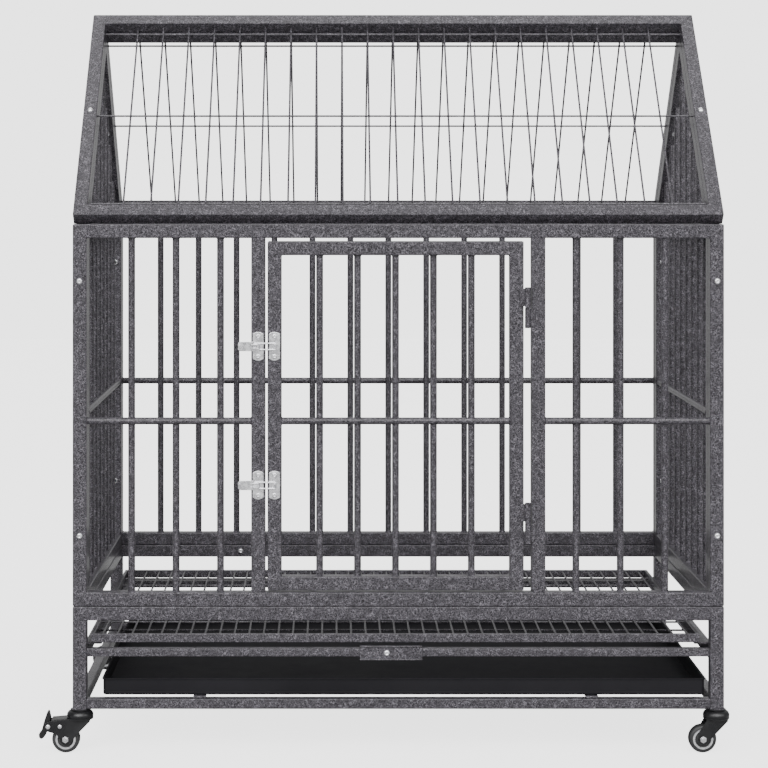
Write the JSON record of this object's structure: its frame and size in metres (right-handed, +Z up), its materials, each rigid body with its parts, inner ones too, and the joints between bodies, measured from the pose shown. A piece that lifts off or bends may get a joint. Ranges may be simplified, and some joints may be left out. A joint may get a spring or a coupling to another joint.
{
  "type": "dog cage",
  "caption": "Wheeled dog cage of square tube and round bars with a gable wire roof, latched front door, wire floor grate and slide-out tray.",
  "frame": {"origin": "middle of the footprint, on the floor under the wheels", "axes": "+Z up, the door is on the -Y side and its hinges are towards +X"},
  "size_m": [0.991, 0.605, 1.076],
  "materials": {
    "vein_paint": "dark grey hammertone vein paint",
    "tray_black": "matt black",
    "bright_zinc": "bright zinc plate",
    "caster_black": "black satin",
    "tyre_rubber": "black rubber"
  },
  "bodies": {
    "cage": {"base_frame": "vein_paint", "tray_support_left": "vein_paint", "tray_support_right": "vein_paint", "tray_stop_screw": "bright_zinc", "front_frame": "vein_paint", "back_frame": "vein_paint", "left_side_frame": "vein_paint", "right_side_frame": "vein_paint", "bolt_front_left_low": "bright_zinc", "bolt_front_left_high": "bright_zinc", "bolt_front_right_low": "bright_zinc", "bolt_front_right_high": "bright_zinc", "bolt_back_left_low": "bright_zinc", "bolt_back_left_high": "bright_zinc", "bolt_back_right_low": "bright_zinc", "bolt_back_right_high": "bright_zinc", "bolt_base_left": "bright_zinc", "bolt_base_right": "bright_zinc", "frame_hinge_lower": "vein_paint", "frame_hinge_upper": "vein_paint", "latch_base_upper": "bright_zinc", "latch_base_lower": "bright_zinc", "roof_front_panel": "vein_paint", "roof_back_panel": "vein_paint", "gable_left": "vein_paint", "gable_right": "vein_paint", "bolt_roof_front_left": "bright_zinc", "bolt_roof_front_right": "bright_zinc", "bolt_roof_back_left": "bright_zinc", "bolt_roof_back_right": "bright_zinc", "caster_stem_front_left": "bright_zinc", "caster_stem_back_left": "bright_zinc", "caster_stem_front_right": "bright_zinc", "caster_stem_back_right": "bright_zinc"},
    "grate": {"floor_grate": "vein_paint"},
    "tray": {"slide_tray": "tray_black"},
    "stop_plate": {"tray_stop_plate": "vein_paint"},
    "door_leaf": {"door": "vein_paint", "door_hinge_lower": "vein_paint", "door_hinge_upper": "vein_paint", "latch_catch_upper": "bright_zinc", "latch_catch_lower": "bright_zinc"},
    "upper_lever": {"latch_lever_upper": "bright_zinc"},
    "upper_loop": {"latch_loop_upper": "bright_zinc"},
    "lower_lever": {"latch_lever_lower": "bright_zinc"},
    "lower_loop": {"latch_loop_lower": "bright_zinc"},
    "fork_front_left": {"caster_fork_front_left": "caster_black", "caster_axle_front_left": "bright_zinc"},
    "wheel_front_left": {"caster_wheel_front_left": "tyre_rubber"},
    "brake_front_left": {"brake_lever_front_left": "caster_black"},
    "fork_front_right": {"caster_fork_front_right": "caster_black", "caster_axle_front_right": "bright_zinc"},
    "wheel_front_right": {"caster_wheel_front_right": "tyre_rubber"},
    "fork_back_left": {"caster_fork_back_left": "caster_black", "caster_axle_back_left": "bright_zinc"},
    "wheel_back_left": {"caster_wheel_back_left": "tyre_rubber"},
    "fork_back_right": {"caster_fork_back_right": "caster_black", "caster_axle_back_right": "bright_zinc"},
    "wheel_back_right": {"caster_wheel_back_right": "tyre_rubber"},
    "brake_back_right": {"brake_lever_back_right": "caster_black"}
  },
  "joints": [
    {"name": "door_swing", "type": "hinge", "parent": "cage", "child": "door_leaf", "pos_m": [0.2025, -0.2948, 0.2098], "axis": [0, 0, 1], "range_deg": [0, 170]},
    {"name": "upper_lever_turn", "type": "hinge", "parent": "cage", "child": "upper_lever", "pos_m": [-0.182, -0.2959, 0.581], "axis": [0, 0, 1], "range_deg": [0, 110]},
    {"name": "upper_loop_turn", "type": "hinge", "parent": "upper_lever", "child": "upper_loop", "pos_m": [-0.188, -0.2947, 0.581], "axis": [0, 0, -1], "range_deg": [0, 132]},
    {"name": "lower_lever_turn", "type": "hinge", "parent": "cage", "child": "lower_lever", "pos_m": [-0.182, -0.2959, 0.383], "axis": [0, 0, 1], "range_deg": [0, 110]},
    {"name": "lower_loop_turn", "type": "hinge", "parent": "lower_lever", "child": "lower_loop", "pos_m": [-0.188, -0.2947, 0.383], "axis": [0, 0, -1], "range_deg": [0, 132]},
    {"name": "stop_plate_turn", "type": "hinge", "parent": "cage", "child": "stop_plate", "pos_m": [0.0015, -0.2863, 0.1432], "axis": [0, -1, 0], "range_deg": [-90, 0]},
    {"name": "tray_slide", "type": "slide", "parent": "cage", "child": "tray", "axis": [0, -1, 0], "range_m": [0, 0.45]},
    {"name": "grate_slide", "type": "slide", "parent": "cage", "child": "grate", "axis": [0, -1, 0], "range_m": [0, 0.45]},
    {"name": "swivel_front_left", "type": "hinge", "parent": "cage", "child": "fork_front_left", "pos_m": [-0.437, -0.28, 0.05], "axis": [0, 0, 1], "continuous": true},
    {"name": "roll_front_left", "type": "hinge", "parent": "fork_front_left", "child": "wheel_front_left", "pos_m": [-0.457, -0.28, 0.01975], "axis": [0, 1, 0], "continuous": true},
    {"name": "brake_front_left", "type": "hinge", "parent": "fork_front_left", "child": "brake_front_left", "pos_m": [-0.482, -0.28, 0.03835], "axis": [0, -1, 0], "range_deg": [0, 20]},
    {"name": "swivel_front_right", "type": "hinge", "parent": "cage", "child": "fork_front_right", "pos_m": [0.473, -0.28, 0.05], "axis": [0, 0, 1], "continuous": true},
    {"name": "roll_front_right", "type": "hinge", "parent": "fork_front_right", "child": "wheel_front_right", "pos_m": [0.453, -0.28, 0.01975], "axis": [0, 1, 0], "continuous": true},
    {"name": "swivel_back_left", "type": "hinge", "parent": "cage", "child": "fork_back_left", "pos_m": [-0.437, 0.28, 0.05], "axis": [0, 0, 1], "continuous": true},
    {"name": "roll_back_left", "type": "hinge", "parent": "fork_back_left", "child": "wheel_back_left", "pos_m": [-0.457, 0.28, 0.01975], "axis": [0, 1, 0], "continuous": true},
    {"name": "swivel_back_right", "type": "hinge", "parent": "cage", "child": "fork_back_right", "pos_m": [0.473, 0.28, 0.05], "axis": [0, 0, 1], "continuous": true},
    {"name": "roll_back_right", "type": "hinge", "parent": "fork_back_right", "child": "wheel_back_right", "pos_m": [0.453, 0.28, 0.01975], "axis": [0, 1, 0], "continuous": true},
    {"name": "brake_back_right", "type": "hinge", "parent": "fork_back_right", "child": "brake_back_right", "pos_m": [0.428, 0.28, 0.03835], "axis": [0, -1, 0], "range_deg": [0, 20]}
  ],
  "couplings": [
    {"joint": "upper_loop_turn", "follows": "upper_lever_turn", "ratio": 1.2},
    {"joint": "lower_loop_turn", "follows": "lower_lever_turn", "ratio": 1.2}
  ]
}
